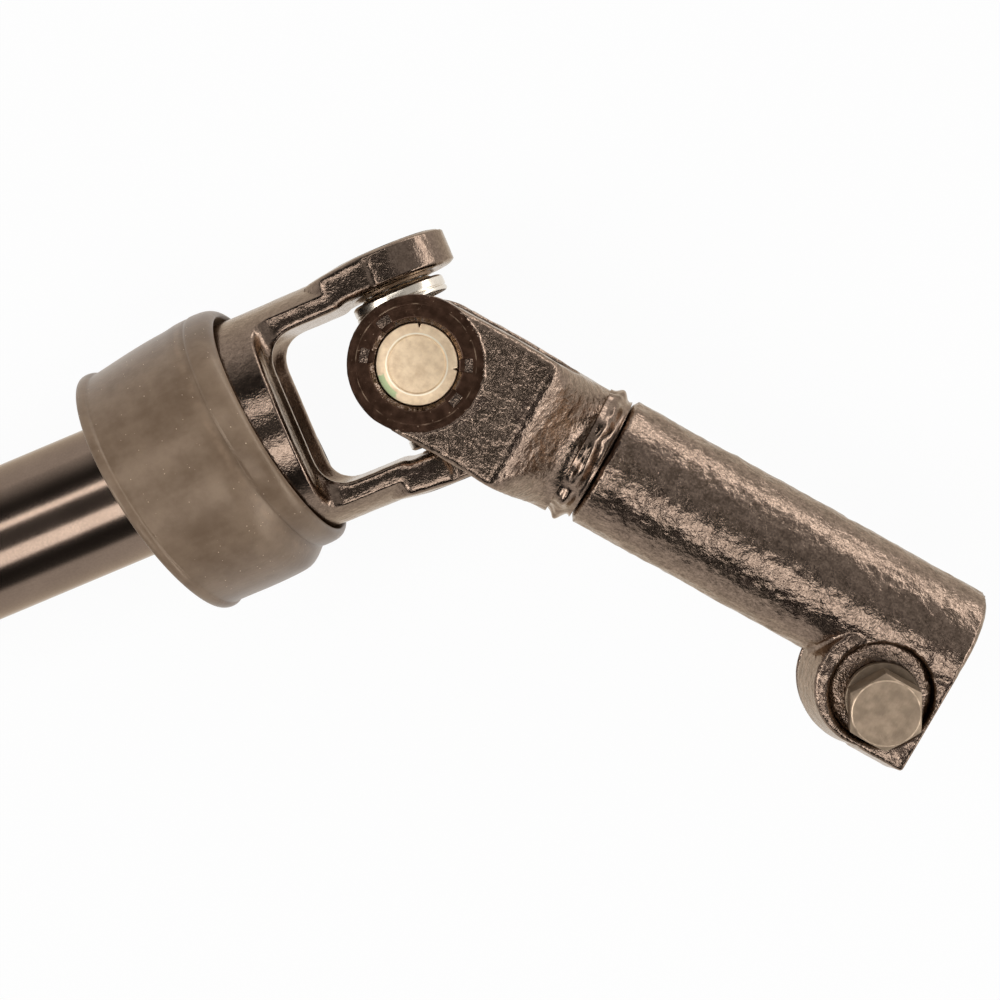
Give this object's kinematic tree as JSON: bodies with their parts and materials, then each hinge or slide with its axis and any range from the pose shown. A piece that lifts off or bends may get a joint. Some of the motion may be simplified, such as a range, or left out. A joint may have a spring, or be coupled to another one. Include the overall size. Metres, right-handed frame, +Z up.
{
  "type": "intermediate steering shaft",
  "caption": "Telescoping steering shaft with a universal joint at each end, a rubber boot at the lower yoke and splined clamps for the column and the steering gear.",
  "frame": {"origin": "middle of the assembly's bounding box, at its base, as the shaft lies with its lower joint bent", "axes": "+X along the tube towards the lower joint, +Y across it, +Z up from the surface it lies on"},
  "size_m": [0.4936, 0.1632, 0.0652],
  "materials": {
    "tube_black": "smooth gloss black paint",
    "yoke_black": "gloss black paint on a smooth forging",
    "forged_black": "gloss black paint on a rough forging",
    "weld": "painted weld metal",
    "rubber": "matte, dusty",
    "cup_steel": "turned, with light marks",
    "bright_steel": "bright",
    "bolt_steel": "phosphated, lightly scratched",
    "nylon": "natural nylon",
    "seal_rubber": "moulded"
  },
  "bodies": {
    "tube_assembly": {"lower_tube_yoke": "yoke_black", "outer_tube": "tube_black", "tube_weld_bead": "weld", "rubber_boot": "rubber", "slip_bushing": "nylon", "slip_seal": "seal_rubber", "tube_cup_top": "cup_steel", "tube_needles_top": "bright_steel", "tube_cup_bottom": "cup_steel", "tube_needles_bottom": "bright_steel"},
    "lower_cross_set": {"lower_cross": "bright_steel", "lower_seal_top": "bright_steel", "lower_seal_bottom": "bright_steel", "lower_seal_near": "bright_steel", "lower_seal_far": "bright_steel"},
    "lower_coupling": {"lower_fork": "forged_black", "fork_weld_bead": "weld", "clamp_coupling": "forged_black", "pinch_bolt": "bolt_steel", "bolt_washer": "bolt_steel", "fork_cup_near": "cup_steel", "fork_needles_near": "bright_steel", "fork_cup_far": "cup_steel", "fork_needles_far": "bright_steel"},
    "inner_shaft_set": {"inner_shaft": "bright_steel", "upper_shaft_yoke": "forged_black", "upper_weld_bead": "weld", "shaft_cup_top": "cup_steel", "shaft_needles_top": "bright_steel", "shaft_cup_bottom": "cup_steel", "shaft_needles_bottom": "bright_steel"},
    "upper_cross_set": {"upper_cross": "bright_steel", "upper_seal_top": "bright_steel", "upper_seal_bottom": "bright_steel", "upper_seal_near": "bright_steel", "upper_seal_far": "bright_steel"},
    "upper_clamp": {"upper_clamp_yoke": "forged_black", "upper_pinch_bolt": "bolt_steel", "upper_bolt_washer": "bolt_steel", "clamp_cup_near": "cup_steel", "clamp_needles_near": "bright_steel", "clamp_cup_far": "cup_steel", "clamp_needles_far": "bright_steel"}
  },
  "joints": [
    {"name": "lower_pitch", "type": "hinge", "parent": "tube_assembly", "child": "lower_cross_set", "pos_m": [0.14625, 0.04994, 0.0326], "axis": [0, 1, 0], "range_deg": [-16.6, 23.4]},
    {"name": "lower_bend", "type": "hinge", "parent": "lower_cross_set", "child": "lower_coupling", "pos_m": [0.14625, 0.04994, 0.0326], "axis": [-0.0593, 0, 0.9982], "range_deg": [-3.3, 106.6]},
    {"name": "telescope", "type": "slide", "parent": "tube_assembly", "child": "inner_shaft_set", "axis": [1, 0, 0], "range_m": [-0.035, 0.025]},
    {"name": "upper_pitch", "type": "hinge", "parent": "inner_shaft_set", "child": "upper_cross_set", "pos_m": [-0.16476, 0.04994, 0.0326], "axis": [0, 1, 0], "range_deg": [-30, 30]},
    {"name": "upper_bend", "type": "hinge", "parent": "upper_cross_set", "child": "upper_clamp", "pos_m": [-0.16476, 0.04994, 0.0326], "axis": [0, 0, 1], "range_deg": [-30, 30]}
  ]
}
